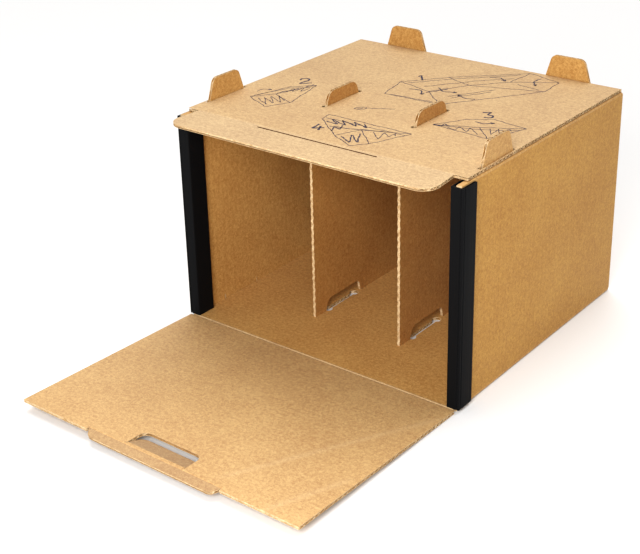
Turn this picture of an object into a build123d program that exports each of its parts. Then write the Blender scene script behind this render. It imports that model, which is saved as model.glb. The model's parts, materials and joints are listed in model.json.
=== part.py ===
import os
from math import cos, radians, sin, tan

from build123d import *

# Front-loading archive carton of single-wall corrugated board, stored open.
# +X right, +Y towards the back, +Z up. The origin is under the middle of the body,
# on the surface that it stands on. Every length is in millimetres.

# ---- body ----
width = 410.0           # over the two side walls
depth = 385.0           # from the door crease to the rear flaps
height = 285.0          # to the top face of the lid
board = 3.6             # board thickness
gap = 0.2               # play between panels that fold against each other
rear_flap_end = 57.0    # how near to the middle the rear flaps reach
rear_flap_foot = 0.5    # rear flaps end this far above the ground

floor_slot = (108.0, 178.0)       # front and back of the stacking slots in the floor
floor_slot_width = 5.2
floor_slot_end = 6.3              # radius of their round ends

lock_tabs = ((58.0, 123.0), (249.0, 314.0))   # liner tabs locked in the floor, front and back
lock_trim = 1.0                   # each tab is shorter than its notch by this much at both ends
lock_slit_width = 1.2
lock_slit_height = 6.5

# ---- stacking tabs that stand through the lid ----
side_tab_base = 70.0
rear_tab_base = 65.0
stack_tab_top = 46.0
stack_tab_height = 28.0
stack_tab_corner = 9.0
side_tab_centre = 83.0    # behind the door crease
rear_tab_centre = 126.5   # from the middle of the box
rim_notch_play = 1.0

# ---- dividers ----
divider_front = 85.0      # dividers start this far behind the door crease
divider_tab_base = 68.0
divider_tab_top = 54.0
divider_tab_height = 17.0
divider_tab_corner = 13.0
divider_tab_centre = 152.0
foot_cut = (108.0, 184.0, 16.0)   # front, back and height of the cut-out in the foot
foot_slopes = (7.0, 3.0)          # how far its front and back sides lean in
foot_corner = 7.0

# ---- lid and lip ----
lid_setback = 17.0        # the lid's front crease, behind the door crease
lid_width = 407.2
slot_play = 0.6           # round a tab's thickness
side_slot_length = 76.0
divider_slot_length = 72.0
divider_slot_end = 3.8    # radius of the round ends
lip_length = 55.0
lip_root = 373.0          # lip width at its crease
lip_front = 378.0         # lip width further out
lip_shoulder = 32.0       # where it reaches that width
lip_corner = 20.0
slit_length = 175.0
slit_width = 2.4
slit_offset = 5.0         # from the lip crease to the middle of the slit

# ---- door, tongue and hand hole ----
door_length = 287.0       # floor crease to the door's outer edge
door_lift = 2.1           # how far the open door's crease springs it up, degrees
tongue_setback = 5.0      # tongue crease, inside the door's outer edge
tongue_play = 0.5         # beside the tongue's root
tongue_length = 12.5
tongue_root = 198.0       # width of the tongue at its crease
tongue_taper = 8.0        # how much each side comes in
tongue_corner = 9.0
tongue_droop = 16.0       # degrees below the door
tongue_bevel = 38.0       # crushed underside at the crease, degrees
hole_width = 87.0
hole_length = 28.5
hole_corner = 10.0
hole_edge = 3.0           # from the tongue crease to the hand hole
flap_length = 25.6
flap_play = 0.8           # beside the flap
flap_corner = 9.4
flap_droop = 16.5         # degrees below the door
flap_bevel = 28.0
score_skin = 0.02         # uncrushed skin above a bevel

# ---- corner posts ----
post_outer = 3.8        # post beyond the wall's outer face
post_inner = 5.8        # post beyond the wall's inner face
post_depth = 28.0
post_web = 2.4
post_wall = 1.3         # plastic on both sides of a hollow cell
post_top = 278.0
post_corner = 1.2
post_groove = 0.7       # radius of the grooves beside the outer corner
groove_setback = 3.4    # from the corner to both grooves

# ---- derived places ----
half = width / 2                  # outside of the side panels
joint_face = half - board         # where side panel and liner meet
liner_face = half - 2 * board     # inside of the side liners
liner_middle = liner_face + board / 2
rim_z = height - board            # underside of the lid
back_inner = depth - 2 * board    # inside face of the back wall
back_outer = depth - board        # rear flaps lie on this face
wall_front = post_web + 3 * gap   # front edges of the side walls
divider_x = (liner_face - board) / 3 + board / 2
front = -depth / 2                # the door crease; places along the depth are added to it

os.makedirs("parts", exist_ok=True)


def save(made, label):
    made.part.label = label
    export_step(made.part, f"parts/{label}.step")


def tab_sketch(base, top, tall, corner):
    """A tab that stands on the local X axis, with its two upper corners rounded."""
    with BuildSketch(mode=Mode.PRIVATE) as tab:
        Polygon((-base / 2, 0), (-top / 2, tall), (top / 2, tall), (base / 2, 0), align=None)
        fillet(tab.vertices().group_by(Axis.Y)[-1], corner)
    return tab.sketch


# ---- floor ----
with BuildPart() as floor_panel:
    with BuildSketch(Plane.XY):
        with Locations((0, front + (gap + back_outer) / 2)):
            Rectangle(2 * joint_face, back_outer - gap)
        slot_straight = floor_slot[1] - floor_slot[0] - 2 * floor_slot_end
        for side in (-1, 1):
            with Locations((side * divider_x, front + sum(floor_slot) / 2)):
                Rectangle(floor_slot_width, slot_straight, mode=Mode.SUBTRACT)
                with GridLocations(0, slot_straight, 1, 2):
                    Circle(floor_slot_end, mode=Mode.SUBTRACT)
            for near, far in lock_tabs:
                with Locations((side * joint_face, front + (near + far) / 2)):
                    Rectangle(2 * board + 2 * gap, far - near + 4 * gap, mode=Mode.SUBTRACT)
    extrude(amount=board)
save(floor_panel, "floor_panel")

# ---- back wall, between the floor and the lid ----
with BuildPart() as back_wall:
    with BuildSketch(Plane.XY.offset(board)):
        with Locations((0, front + back_inner + board / 2)):
            Rectangle(2 * joint_face, board)
    extrude(amount=rim_z - board)
save(back_wall, "back_wall")

# ---- side walls: outer panel, double-scored rim, liner, rear flap and corner post ----
for name, side in (("left", -1), ("right", 1)):
    with BuildPart() as side_panel:
        with BuildSketch(Plane.XY):
            with Locations((side * (half - board / 2), front + (wall_front + depth) / 2)):
                Rectangle(board, depth - wall_front)
        extrude(amount=rim_z - board)
    save(side_panel, f"{name}_side_panel")

    with BuildPart() as side_rim:
        with BuildSketch(Plane.XY.offset(rim_z - board)):
            with Locations((side * joint_face, front + (wall_front + back_inner) / 2)):
                Rectangle(2 * board, back_inner - wall_front)
            with Locations((side * liner_middle, front + side_tab_centre)):
                Rectangle(board, side_tab_base + 2 * rim_notch_play, mode=Mode.SUBTRACT)
        extrude(amount=board)
    save(side_rim, f"{name}_side_rim")

    with BuildPart() as side_liner:
        # the panel stands on the floor, and its stacking tab rises through rim and lid
        with BuildSketch(Plane.YZ.offset(side * liner_middle)):
            with Locations((front + (wall_front + back_inner) / 2, rim_z / 2)):
                Rectangle(back_inner - wall_front, rim_z - 2 * board)
            with Locations((front + side_tab_centre, rim_z - board)):
                add(tab_sketch(side_tab_base, stack_tab_top, stack_tab_height + 2 * board,
                               stack_tab_corner))
            for near, far in lock_tabs:
                with Locations((front + (near + far) / 2, board / 2 + gap)):
                    Rectangle(far - near - 2 * lock_trim, board)
                slit_middle = board + (lock_slit_height - gap) / 2
                with Locations((front + near, slit_middle), (front + far, slit_middle)):
                    Rectangle(lock_slit_width, lock_slit_height + gap, mode=Mode.SUBTRACT)
        extrude(amount=board / 2, both=True)
    save(side_liner, f"{name}_side_liner")

    with BuildPart() as rear_flap:
        with BuildSketch(Plane.XZ.offset(-(front + back_outer + board / 2))):
            with Locations((side * (joint_face + rear_flap_end) / 2, (rim_z + rear_flap_foot) / 2)):
                Rectangle(joint_face - rear_flap_end, rim_z - rear_flap_foot)
            with Locations((side * rear_tab_centre, rim_z)):
                add(tab_sketch(rear_tab_base, stack_tab_top, stack_tab_height + board,
                               stack_tab_corner))
        extrude(amount=board / 2, both=True)
    save(rear_flap, f"{name}_rear_flap")

    with BuildPart() as corner_post:
        # plastic channel pushed on the wall's front edge: web in front, two hollow flanges
        post_front = front + 2 * gap
        with BuildSketch(Plane.XY.offset(board + gap)):
            with Locations((side * (joint_face + (post_outer - post_inner) / 2),
                            post_front + post_depth / 2)):
                with BuildSketch(mode=Mode.PRIVATE) as post_outline:
                    Rectangle(2 * board + post_outer + post_inner, post_depth)
                    fillet(post_outline.vertices().group_by(Axis.Y)[0], post_corner)
                add(post_outline.sketch)
            with Locations((side * joint_face, post_front + (post_web + post_depth) / 2)):
                Rectangle(2 * board + 2 * gap, post_depth - post_web, mode=Mode.SUBTRACT)
            for flange, flange_x in ((post_outer, half), (post_inner, liner_face - post_inner)):
                with Locations((side * (flange_x + flange / 2), front + (post_web + post_depth) / 2)):
                    Rectangle(flange - gap - 2 * post_wall, post_depth - 3 * post_web,
                              mode=Mode.SUBTRACT)
            with Locations((side * (half + post_outer - groove_setback), post_front),
                           (side * (half + post_outer), post_front + groove_setback)):
                Circle(post_groove, mode=Mode.SUBTRACT)
        extrude(amount=post_top - board - gap)
    save(corner_post, f"{name}_corner_post")

    with BuildPart() as divider:
        with BuildSketch(Plane.YZ.offset(side * divider_x)):
            divider_length = back_inner - gap - divider_front
            with Locations((front + divider_front + divider_length / 2, (board + rim_z) / 2)):
                Rectangle(divider_length, rim_z - board)
            with Locations((front + divider_tab_centre, rim_z)):
                add(tab_sketch(divider_tab_base, divider_tab_top, board + divider_tab_height,
                               divider_tab_corner))
            near, far, tall = foot_cut
            with Locations((front, board)):
                with BuildSketch(mode=Mode.PRIVATE) as foot:
                    Polygon((near, -board), (near, 0), (near + foot_slopes[0], tall),
                            (far - foot_slopes[1], tall), (far, 0), (far, -board), align=None)
                    fillet(foot.vertices().group_by(Axis.Y)[-1], foot_corner)
                add(foot.sketch, mode=Mode.SUBTRACT)
        extrude(amount=board / 2, both=True)
    save(divider, f"{name}_divider")

# ---- lid, hinged on the top of the back wall, with slots for the standing tabs ----
lid_front = front + lid_setback + gap / 2
lid_back = front + back_outer - gap
with BuildPart() as lid_panel:
    with BuildSketch(Plane.XY.offset(rim_z)):
        with Locations((0, (lid_front + lid_back) / 2)):
            Rectangle(lid_width, lid_back - lid_front)
        for side in (-1, 1):
            with Locations((side * liner_middle, front + side_tab_centre)):
                Rectangle(board + 2 * slot_play, side_slot_length, mode=Mode.SUBTRACT)
            with Locations((side * divider_x, front + divider_tab_centre)):
                Rectangle(board + 2 * slot_play, divider_slot_length, mode=Mode.SUBTRACT)
                with GridLocations(0, divider_slot_length, 1, 2):
                    Circle(divider_slot_end, mode=Mode.SUBTRACT)
    extrude(amount=board)
save(lid_panel, "lid_panel")

# ---- lip, folded down inside the door when the box is closed ----
lip_back = front + lid_setback - gap / 2
with BuildPart() as front_lip:
    with BuildSketch(Plane.XY.offset(rim_z)):
        with BuildSketch(mode=Mode.PRIVATE) as lip_outline:
            shoulder = lip_back - lip_shoulder
            Polygon((-lip_root / 2, lip_back), (-lip_front / 2, shoulder),
                    (-lip_front / 2, lip_back - lip_length), (lip_front / 2, lip_back - lip_length),
                    (lip_front / 2, shoulder), (lip_root / 2, lip_back), align=None)
            fillet(lip_outline.vertices().group_by(Axis.Y)[0], lip_corner)
        add(lip_outline.sketch)
        with Locations((0, lip_back - slit_offset)):
            SlotOverall(slit_length, slit_width, mode=Mode.SUBTRACT)
    extrude(amount=board)
save(front_lip, "front_lip")

# ---- front door, lying open in front of the body, a little off the ground ----
lift = radians(door_lift)
door_plane = Plane(origin=(0, front, board), x_dir=(1, 0, 0), z_dir=(0, sin(lift), cos(lift)))
tongue_crease = tongue_setback - door_length
hole_near = tongue_crease + hole_edge
with BuildPart() as front_door:
    with BuildSketch(door_plane):
        with Locations((0, -door_length / 2)):
            Rectangle(width, door_length)
        with Locations((0, tongue_crease - tongue_setback / 2)):
            Rectangle(tongue_root + 2 * tongue_play, tongue_setback, mode=Mode.SUBTRACT)
        with BuildSketch(mode=Mode.PRIVATE) as hand_hole:
            with Locations((0, hole_near + hole_length / 2)):
                Rectangle(hole_width, hole_length)
            fillet(hand_hole.vertices().group_by(Axis.Y)[-1], hole_corner)
        add(hand_hole.sketch, mode=Mode.SUBTRACT)
    extrude(amount=-board)
save(front_door, "front_door")


def drooped(local_y, droop):
    """Plane on the door's top face at local_y, turned about its own X axis by droop degrees."""
    tilt = lift + radians(droop)
    origin = door_plane.from_local_coords((0, local_y, 0))
    return Plane(origin=origin, x_dir=(1, 0, 0), z_dir=(0, sin(tilt), cos(tilt)))


def crush_underside(made, plane, angle):
    """Bevels the underside of the piece in hand along the crease at the plane's X axis."""
    corner = plane.from_local_coords((0, 0, -board))
    edge = made.edges().filter_by(Axis.X).sort_by(lambda e: (e.center() - corner).length)[0]
    chamfer(edge, board - score_skin, board * tan(radians(angle)))


# ---- tongue, creased a little inside the door's outer edge ----
tongue_plane = drooped(tongue_crease, -tongue_droop)
with BuildPart() as door_tongue:
    with BuildSketch(tongue_plane) as tongue_top:
        tongue_end = tongue_root / 2 - tongue_taper
        Polygon((-tongue_root / 2, -gap), (-tongue_end, -tongue_length),
                (tongue_end, -tongue_length), (tongue_root / 2, -gap), align=None)
        fillet(tongue_top.vertices().group_by(Axis.Y)[0], tongue_corner)
    extrude(amount=-board)
    crush_underside(door_tongue, tongue_plane, tongue_bevel)
save(door_tongue, "door_tongue")

# ---- flap of the hand hole, scored along the side nearest the tongue ----
flap_plane = drooped(hole_near, flap_droop)
with BuildPart() as hand_hole_flap:
    with BuildSketch(flap_plane) as flap_top:
        with Locations((0, (gap + flap_length) / 2)):
            Rectangle(hole_width - 2 * flap_play, flap_length - gap)
        fillet(flap_top.vertices().group_by(Axis.Y)[-1], flap_corner)
    extrude(amount=-board)
    crush_underside(hand_hole_flap, flap_plane, flap_bevel)
save(hand_hole_flap, "hand_hole_flap")
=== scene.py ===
import json
import math

import bpy
import numpy as np
from mathutils import Matrix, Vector
from mathutils.geometry import tessellate_polygon


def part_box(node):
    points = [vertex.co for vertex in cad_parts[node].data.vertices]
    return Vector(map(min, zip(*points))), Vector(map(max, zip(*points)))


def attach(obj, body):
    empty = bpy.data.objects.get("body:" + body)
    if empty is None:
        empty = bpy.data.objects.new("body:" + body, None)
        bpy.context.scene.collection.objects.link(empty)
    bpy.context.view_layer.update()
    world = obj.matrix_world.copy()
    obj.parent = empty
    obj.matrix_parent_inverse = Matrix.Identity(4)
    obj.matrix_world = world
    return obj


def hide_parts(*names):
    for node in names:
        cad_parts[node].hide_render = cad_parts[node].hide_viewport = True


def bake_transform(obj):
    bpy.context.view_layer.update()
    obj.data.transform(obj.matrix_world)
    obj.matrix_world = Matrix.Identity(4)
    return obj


# Archive carton of corrugated kraft board, standing open. Metres, +Z up, +Y to the back.
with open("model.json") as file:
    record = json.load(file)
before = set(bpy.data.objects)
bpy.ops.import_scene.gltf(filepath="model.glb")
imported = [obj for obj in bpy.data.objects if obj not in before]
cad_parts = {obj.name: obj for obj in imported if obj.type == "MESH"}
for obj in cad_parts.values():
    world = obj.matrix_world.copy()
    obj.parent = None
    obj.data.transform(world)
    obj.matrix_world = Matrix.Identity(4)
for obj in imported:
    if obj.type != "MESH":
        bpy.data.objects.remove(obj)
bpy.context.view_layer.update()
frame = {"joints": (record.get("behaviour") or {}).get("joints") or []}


def corners(node):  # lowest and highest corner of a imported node
    low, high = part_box(node)
    return np.array(low), np.array(high)


hinges = {joint["name"]: np.array(joint["pos_m"]) for joint in frame["joints"]}
floorLow, floorHigh = corners("floor_panel")
lidLow, lidHigh = corners("lid_panel")
panelLow, panelHigh = corners("right_side_panel")
linerLow, linerHigh = corners("right_side_liner")
flapLow, flapHigh = corners("right_rear_flap")
backLow, backHigh = corners("back_wall")
board = floorHigh[2] - floorLow[2]  # thickness of the board
rimZ = lidLow[2]                    # the lid lies at this height
doorY = hinges["door_fold"][1]      # crease between floor and door
axisX, axisY, axisZ = np.eye(3)

corrugated = {
    "linerSheet": 0.00045,
    "fluteSheet": 0.0004,
    "flutePitch": 0.0079,
    "samplesPerFlute": 12,
    "edgeTrim": 0.0002,    # flutes start this far inside the outline
    "scanShift": 1.3e-7,   # keeps the scan lines off the outline's own corners
    "press": 2e-5,         # flutes sink this far into both liners
    "endGap": 1e-5,        # flutes end this far behind the cut
    "bandInset": 5e-5,     # so does a crushed edge's band
    "sharpAngle": 32,
}


# camera and room
cameraSettings = {
    "place": (0.8982, -1.3091, 0.8239),
    "azimuth": 38.39,
    "elevation": 24.17,
    "roll": -1.38,
    "lens": 74.94,
    "sensor": 36.0,
    "riseShift": -0.078,
    "clipEnd": 50,
}


def makeCamera(settings):
    # back = (sin a cos e, -cos a cos e, sin e); right and up follow from it, then turn by the roll
    azimuth, elevation, roll = np.radians([settings[k] for k in ("azimuth", "elevation", "roll")])
    back = np.array([math.sin(azimuth) * math.cos(elevation),
                     -math.cos(azimuth) * math.cos(elevation), math.sin(elevation)])
    right = np.cross(-back, axisZ)
    right /= np.linalg.norm(right)
    up = np.cross(right, -back)
    columns = (right * math.cos(roll) + up * math.sin(roll),
               up * math.cos(roll) - right * math.sin(roll), back)
    lens = bpy.data.cameras.new("camera")
    lens.lens = settings["lens"]
    lens.sensor_width = settings["sensor"]
    lens.shift_y = settings["riseShift"]
    lens.clip_end = settings["clipEnd"]
    camera = bpy.data.objects.new("camera", lens)
    bpy.context.scene.collection.objects.link(camera)
    turned = Matrix(np.array(columns).T.tolist()).to_4x4()
    turned.translation = settings["place"]
    camera.matrix_world = turned
    bpy.context.scene.camera = camera


makeCamera(cameraSettings)
print("camera placed")


# node helpers
def srgb(text):  # "#RRGGBB" to linear red, green, blue, alpha
    values = np.array([int(text[i:i + 2], 16) for i in (1, 3, 5)]) / 255
    linear = np.where(values < 0.04045, values / 12.92, ((values + 0.055) / 1.055) ** 2.4)
    return (*linear.tolist(), 1.0)


class Nodes:
    # short ways to add and join shader nodes of one material
    def __init__(self, name):
        self.material = bpy.data.materials.new(name)
        self.material.use_nodes = True
        self.tree = self.material.node_tree
        self.tree.nodes.clear()
        output = self.tree.nodes.new("ShaderNodeOutputMaterial")
        self.shader = self.tree.nodes.new("ShaderNodeBsdfPrincipled")
        self.tree.links.new(self.shader.outputs[0], output.inputs[0])

    def add(self, kind, **settings):
        node = self.tree.nodes.new("ShaderNode" + kind)
        for key, value in settings.items():
            setattr(node, key, value)
        return node

    def join(self, source, target):
        self.tree.links.new(source, target)

    def math(self, operation, *values):
        node = self.add("Math", operation=operation)
        for socket, value in zip(node.inputs, values):
            self.put(value, socket)
        return node.outputs[0]

    def put(self, value, socket):
        if hasattr(value, "is_output"):
            self.join(value, socket)
        else:
            socket.default_value = value

    def fix(self, **values):  # sets the shader's own sockets; an underscore stands for a space
        for key, value in values.items():
            self.shader.inputs[key.replace("_", " ")].default_value = value

    def noise(self, coordinates, scale, detail=3.0, roughness=0.5, distortion=0.0):
        node = self.add("TexNoise")
        self.join(coordinates, node.inputs["Vector"])
        for key, value in (("Scale", scale), ("Detail", detail), ("Roughness", roughness),
                           ("Distortion", distortion)):
            node.inputs[key].default_value = value
        return node.outputs[0]

    def stretched(self, coordinates, scale):
        node = self.add("Mapping")
        self.join(coordinates, node.inputs["Vector"])
        node.inputs["Scale"].default_value = scale
        return node.outputs[0]

    def spread(self, value, low, high, outLow=0.0, outHigh=1.0):
        node = self.add("MapRange")
        for key, number in (("Value", value), ("From Min", low), ("From Max", high),
                            ("To Min", outLow), ("To Max", outHigh)):
            self.put(number, node.inputs[key])
        return node.outputs[0]

    def mix(self, share, first, second):
        node = self.add("Mix", data_type="RGBA")
        for socket, value in zip((node.inputs[0], node.inputs[6], node.inputs[7]),
                                 (share, first, second)):
            self.put(value, socket)
        return node.outputs[2]

    def bump(self, height, strength, distance):
        node = self.add("Bump")
        node.inputs["Strength"].default_value = strength
        node.inputs["Distance"].default_value = distance
        self.join(height, node.inputs["Height"])
        self.join(node.outputs[0], self.shader.inputs["Normal"])


# kraft board
kraft = {
    "pale": "#CFA462",
    "deep": "#AC7B3D",
    "fleck": "#845A2C",
    "cutPale": "#E8D0A8",
    "cutDeep": "#A88355",
    # the slit colours are painted shade for the inside of the lip's slit
    "slitPale": "#6A4628",
    "slitDeep": "#3E2614",
    "cloudScale": 11,
    "mottlingScale": 300,
    "fibreScale": (520, 1150, 900),
    "fleckScale": (700, 260, 500),
    "cloudShare": 0.14,
    "mottlingShare": 0.5,
    "fibreShare": 0.36,
    "fluteShare": 0.02,
    "fleckShare": 0.5,
    "mottlingRelief": 0.35,
    "fibreRelief": 0.3,
    "washboard": 0.05,
    "relief": 0.32,
    "reliefHeight": 0.0006,
    "roughness": 0.62,
    "gloss": 0.5,
    "sheen": 0.1,
    "sheenRoughness": 0.45,
}
bend = {
    # ridge is the colour of a painted highlight along a bend, shade is painted shade beside it
    "ridge": "#F0CF9C",
    "shade": "#9A6E3A",
    "width": 0.0042,
    "shadeBefore": 0.02,
    "shadeAfter": 0.022,
    "ridgeShare": 0.11,
    "shadeShare": 0.07,
}
cut = {
    "furScale": (900, 900, 900),
    "clumpScale": 160,
    "clumpShare": 0.8,
    "roughness": 0.95,
    "gloss": 0.15,
    "relief": 0.5,
    "reliefHeight": 0.0004,
}


def kraftPaper(name, settings, lightness=1.0, saturation=1.0, hue=0.5, bends=()):
    # Colour = broad clouds + mottling a few mm wide + short fibres, with painted shade sin(2 pi v /
    # pitch) over the flutes' washboard. A bend (point, direction, reach) is a soft ridge exp(-(distance
    # / width)^2) with a painted highlight on it and painted shade beside it.
    nodes = Nodes(name)
    place = nodes.add("TexCoord").outputs["Object"]
    sheet = nodes.add("UVMap", uv_map="sheet").outputs[0]
    across = nodes.add("SeparateXYZ")
    nodes.join(sheet, across.inputs[0])
    clouds = nodes.noise(place, settings["cloudScale"], 2, 0.5)
    mottling = nodes.noise(place, settings["mottlingScale"], 4, 0.66, 0.8)
    fibres = nodes.noise(nodes.stretched(place, settings["fibreScale"]), 1.0, 3, 0.7, 0.6)
    flutes = nodes.math("SINE", nodes.math(
        "MULTIPLY", across.outputs[1], 2 * math.pi / corrugated["flutePitch"]))
    fine = nodes.math("ADD", nodes.spread(mottling, 0.34, 0.66, 0.0, settings["mottlingShare"]),
                      nodes.spread(fibres, 0.3, 0.7, 0.0, settings["fibreShare"]))
    tone = nodes.math("ADD", nodes.spread(clouds, 0.3, 0.7, 0.0, settings["cloudShare"]), fine)
    tone = nodes.math("ADD", tone, nodes.math("MULTIPLY", flutes, settings["fluteShare"]))
    colour = nodes.mix(nodes.spread(tone, 0.22, 0.78), srgb(settings["deep"]), srgb(settings["pale"]))
    specks = nodes.noise(nodes.stretched(place, settings["fleckScale"]), 1.0, 2, 0.6)
    specks = nodes.math("MULTIPLY", nodes.spread(specks, 0.66, 0.8), settings["fleckShare"])
    colour = nodes.mix(specks, colour, srgb(settings["fleck"]))
    height = nodes.math("ADD", nodes.math("MULTIPLY", mottling, settings["mottlingRelief"]),
                        nodes.math("ADD", nodes.math("MULTIPLY", fibres, settings["fibreRelief"]),
                                   nodes.math("MULTIPLY", flutes, settings["washboard"])))
    for point, direction, reach, rise in bends:
        height, colour = bendMark(nodes, place, point, direction, reach, rise, height, colour)
    # lightness, saturation and hue other than the defaults make lit and shaded copies of the board:
    # painted sheen or painted shade
    if (lightness, saturation, hue) != (1.0, 1.0, 0.5):
        level = nodes.add("HueSaturation")
        level.inputs["Hue"].default_value = hue
        level.inputs["Value"].default_value = lightness
        level.inputs["Saturation"].default_value = saturation
        nodes.join(colour, level.inputs["Color"])
        colour = level.outputs[0]
    nodes.join(colour, nodes.shader.inputs["Base Color"])
    nodes.join(nodes.spread(mottling, 0.3, 0.7, settings["roughness"] - 0.06,
                            settings["roughness"] + 0.08), nodes.shader.inputs["Roughness"])
    nodes.fix(Specular_IOR_Level=settings["gloss"], Sheen_Weight=settings["sheen"],
              Sheen_Roughness=settings["sheenRoughness"])
    nodes.bump(height, settings["relief"], settings["reliefHeight"])
    return nodes.material


def bendMark(nodes, place, point, direction, reach, rise, height, colour):
    # ridge = exp(-(d / w)^2), d the distance from the bend's line, faded out past its ends, with a
    # painted highlight stripe on it and a little painted shade on both sides
    offset = nodes.add("VectorMath", operation="SUBTRACT")
    nodes.join(place, offset.inputs[0])
    offset.inputs[1].default_value = point

    def along(axis):
        dot = nodes.add("VectorMath", operation="DOT_PRODUCT")
        nodes.join(offset.outputs[0], dot.inputs[0])
        dot.inputs[1].default_value = axis
        return dot.outputs["Value"]

    sideways = along((-direction[1], direction[0], 0.0))
    ridge = nodes.math("EXPONENT", nodes.math(
        "MULTIPLY", nodes.math("MULTIPLY", sideways, sideways), -1 / bend["width"] ** 2))
    faded = nodes.math("MULTIPLY", ridge, nodes.spread(
        nodes.math("ABSOLUTE", along(direction)), reach * 0.8, reach, 1.0, 0.0))
    beside = nodes.math("MULTIPLY", nodes.spread(sideways, -bend["shadeBefore"], 0.0, 0.0, 1.0),
                        nodes.spread(sideways, 0.0, bend["shadeAfter"], 1.0, 0.0))
    darker = nodes.math("MULTIPLY", beside, nodes.spread(
        nodes.math("ABSOLUTE", along(direction)), reach * 0.7, reach, bend["shadeShare"], 0.0))
    colour = nodes.mix(darker, colour, srgb(bend["shade"]))
    colour = nodes.mix(nodes.math("MULTIPLY", faded, bend["ridgeShare"]), colour, srgb(bend["ridge"]))
    return nodes.math("ADD", height, nodes.math("MULTIPLY", faded, rise)), colour


def cutPaper(name, deep, pale):
    # raw edges and flutes: paler, furry, with fibre bundles along the sheet; given dark colours it
    # paints the shade inside a slit
    nodes = Nodes(name)
    place = nodes.add("TexCoord").outputs["Object"]
    fur = nodes.noise(nodes.stretched(place, cut["furScale"]), 1.0, 4, 0.7)
    clumps = nodes.math("MULTIPLY", nodes.noise(place, cut["clumpScale"], 3, 0.6), cut["clumpShare"])
    share = nodes.spread(nodes.math("ADD", fur, clumps), 0.65, 1.15)
    nodes.join(nodes.mix(share, srgb(deep), srgb(pale)), nodes.shader.inputs["Base Color"])
    nodes.fix(Roughness=cut["roughness"], Specular_IOR_Level=cut["gloss"])
    nodes.bump(fur, cut["relief"], cut["reliefHeight"])
    return nodes.material


kraftPlain = kraftPaper("kraftBoard", kraft)
# side walls: darker and richer than plain board, a painted shade
kraftSideShaded = kraftPaper("kraftBoardSide", kraft, 0.89, 1.12)
# lid and lip: paler and greyer than plain board, a painted sheen
kraftLidSheen = kraftPaper("kraftBoardLid", kraft, 1.0, 0.86, 0.505)
kraftLipSheen = kraftPaper("kraftBoardLip", kraft, 1.03, 0.8, 0.507)
# drooping tongue and hand hole flap: darker, a painted shade where they tilt away from the light
kraftDroopShaded = kraftPaper("kraftBoardTongue", kraft, 0.74, 0.86)
# dividers: darker and redder than plain board, a painted shade for the inside of the box
kraftDividerShaded = kraftPaper("kraftBoardDivider", kraft, 0.84, 1.05, 0.493)
cutEdge = cutPaper("cutBoardEdge", kraft["cutDeep"], kraft["cutPale"])
# dark paper that paints the shade inside the lip's slit
slitShadePaper = cutPaper("cutBoardSlit", kraft["slitDeep"], kraft["slitPale"])


# shapes in a board's own plane
# A point (u, v, n) of a board lies at origin + u along + v across + n face: the flutes run
# along u, repeat along v, and n is measured out of the board's good face.
def boardPlane(origin, along, across, face):
    return {"origin": np.array(origin, float), "axes": np.array((along, across, face), float)}


def roundedOutline(points, steps=7):
    # each corner (u, v, r) becomes the arc of radius r that touches both of its sides
    found = []
    for i, (u, v, radius) in enumerate(points):
        here = np.array((u, v))
        if radius == 0:
            found.append(here[None])
            continue
        sides = [np.array(points[j % len(points)][:2]) - here for j in (i - 1, i + 1)]
        sides = [side / np.linalg.norm(side) for side in sides]
        half = math.acos(np.clip(sides[0] @ sides[1], -1, 1)) / 2
        bisector = (sides[0] + sides[1]) / np.linalg.norm(sides[0] + sides[1])
        centre = here + bisector * radius / math.sin(half)
        first, last = (here + side * radius / math.tan(half) - centre for side in sides)
        sweep = math.atan2(first[0] * last[1] - first[1] * last[0], first @ last)
        angles = math.atan2(first[1], first[0]) + np.linspace(0, sweep, steps)
        found.append(centre + radius * np.stack((np.cos(angles), np.sin(angles)), 1))
    return np.concatenate(found)


def flapOutlineOf(half, near, far, corner=0, taper=0):
    # straight across at v = near, narrowed by taper and rounded at v = far
    return roundedOutline([(-half, near, 0), (half, near, 0), (half - taper, far, corner),
                           (taper - half, far, corner)])


def mirrored(right):  # closes the right half of an outline with its mirror image
    right = np.array(right)
    return np.concatenate((right, right[::-1] * (-1, 1)))


def dogBone(centre, halfLong, halfWide, endRadius, steps=12):
    # a slot along v: two circles of endRadius, joined by sides halfWide from the middle line
    opening = math.asin(min(1.0, halfWide / endRadius))
    angles = np.linspace(opening, 2 * math.pi - opening, steps)
    ring = endRadius * np.stack((np.sin(angles), -np.cos(angles)), 1)
    return np.concatenate((ring + (0, halfLong), -ring - (0, halfLong))) + centre


def signedArea(loop):
    # half the sum of u dv - v du round the loop, positive when it runs anticlockwise
    u, v = loop.T
    return float(np.sum(u * np.roll(v, -1) - np.roll(u, -1) * v)) / 2


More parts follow.
